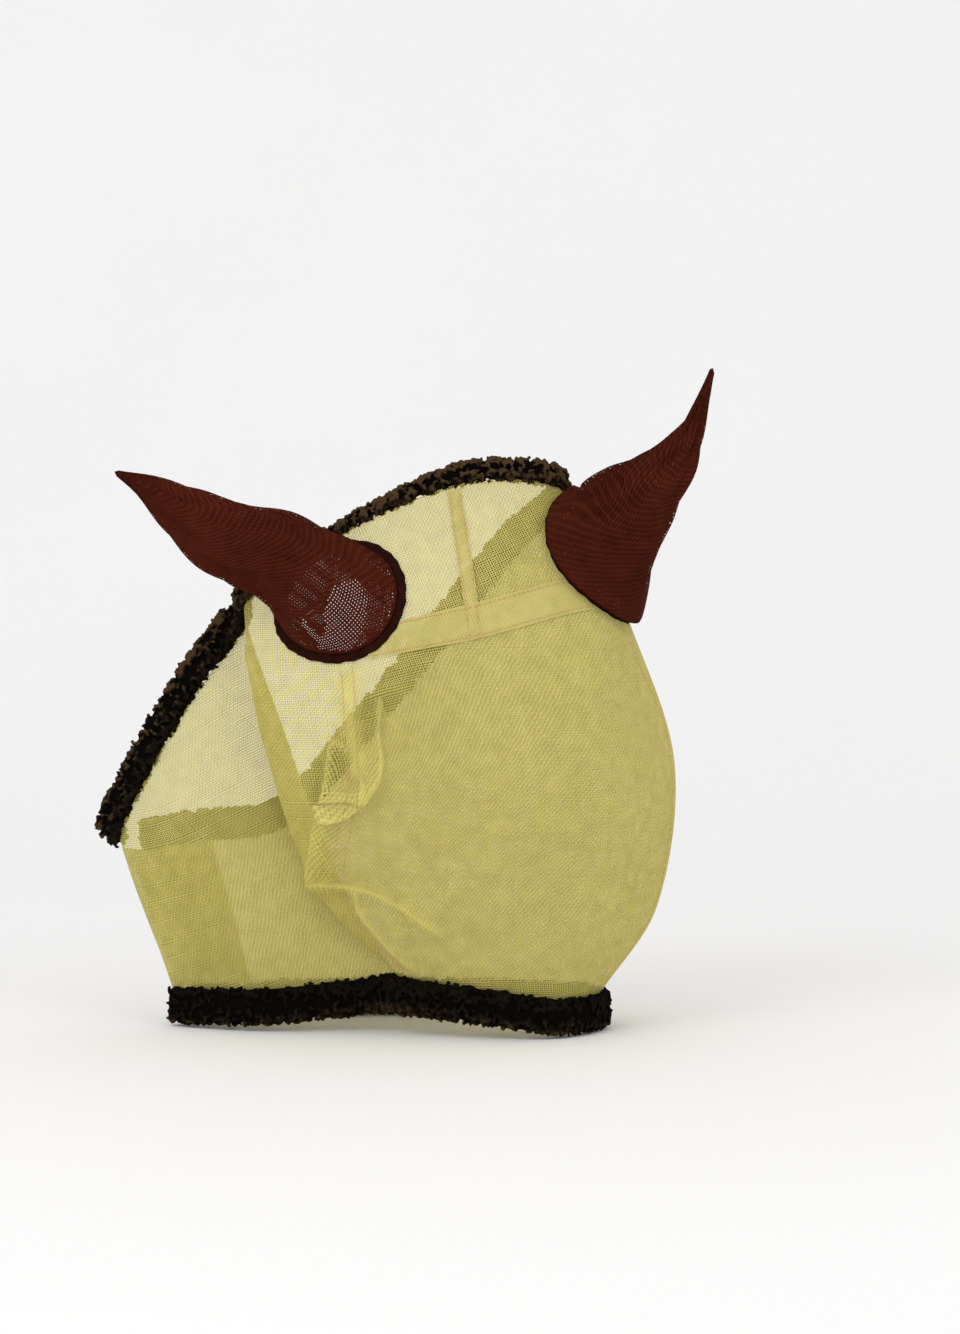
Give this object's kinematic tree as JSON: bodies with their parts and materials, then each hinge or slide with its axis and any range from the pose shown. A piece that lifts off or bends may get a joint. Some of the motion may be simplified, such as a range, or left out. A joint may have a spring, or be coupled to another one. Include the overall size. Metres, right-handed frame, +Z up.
{
  "type": "horse fly mask",
  "caption": "Mesh fly mask for a horse, with net ears, fleece edges and a hook-and-loop jaw flap, standing on its nose edge.",
  "frame": {"origin": "on the floor, under the middle of the mask's box as it stands on the fleece of its nose edge", "axes": "+Z up, from the nose edge to the poll; the face looks along -Y; the jaw fold and closure are at -X"},
  "size_m": [0.5248, 0.2234, 0.5597],
  "materials": {
    "yellow_mesh": "open plain weave of straw-yellow coated yarn, satin, see-through",
    "yellow_tape": "doubled straw-yellow mesh tape, stitched along both edges",
    "brown_net": "soft red-brown knitted net, matt, see-through",
    "dark_binding": "dark maroon-brown woven binding tape, matt",
    "brown_fleece": "dark brown curly pile fleece with lighter tips",
    "hook_and_loop": "straw-coloured hook-and-loop tape, matt"
  },
  "bodies": {
    "hood": {"left_cheek_panel": "yellow_mesh", "left_temple_panel": "yellow_mesh", "right_temple_panel": "yellow_mesh", "face_panel": "yellow_mesh", "left_poll_panel": "yellow_mesh", "right_poll_panel": "yellow_mesh", "right_cheek_panel": "yellow_mesh", "cheek_loop_tape": "hook_and_loop", "brow_band": "yellow_tape", "poll_centre_tape": "yellow_tape", "nose_fleece_cheek": "brown_fleece", "nose_fleece_face": "brown_fleece", "nose_fleece_hidden": "brown_fleece", "throat_fleece_cheek": "brown_fleece", "throat_fleece_poll": "brown_fleece", "throat_fleece_hidden": "brown_fleece", "left_ear_binding": "dark_binding", "left_ear_lower_net": "brown_net", "right_ear_binding": "dark_binding", "right_ear_lower_net": "brown_net"},
    "flap": {"closure_flap": "yellow_mesh", "flap_hook_tape": "hook_and_loop", "flap_edge_binding": "yellow_tape", "flap_nose_fleece": "brown_fleece", "flap_throat_fleece": "brown_fleece"},
    "left_ear": {"left_ear_front_net": "brown_net", "left_ear_back_net": "brown_net"},
    "right_ear": {"right_ear_front_net": "brown_net", "right_ear_back_net": "brown_net"}
  },
  "joints": [
    {"name": "jaw_flap_hinge", "type": "hinge", "parent": "hood", "child": "flap", "pos_m": [-0.1975, 0.0198, 0.0321], "axis": [-0.3323, 0.0232, 0.9429], "range_deg": [0, 130]},
    {"name": "left_ear_bend", "type": "hinge", "parent": "hood", "child": "left_ear", "pos_m": [-0.1056, -0.0624, 0.4055], "axis": [0, 1, 0], "range_deg": [-20, 25], "stiffness_Nm_per_rad": 0.1},
    {"name": "right_ear_bend", "type": "hinge", "parent": "hood", "child": "right_ear", "pos_m": [0.1852, -0.0583, 0.437], "axis": [0, -1, 0], "range_deg": [-20, 25], "stiffness_Nm_per_rad": 0.1}
  ]
}
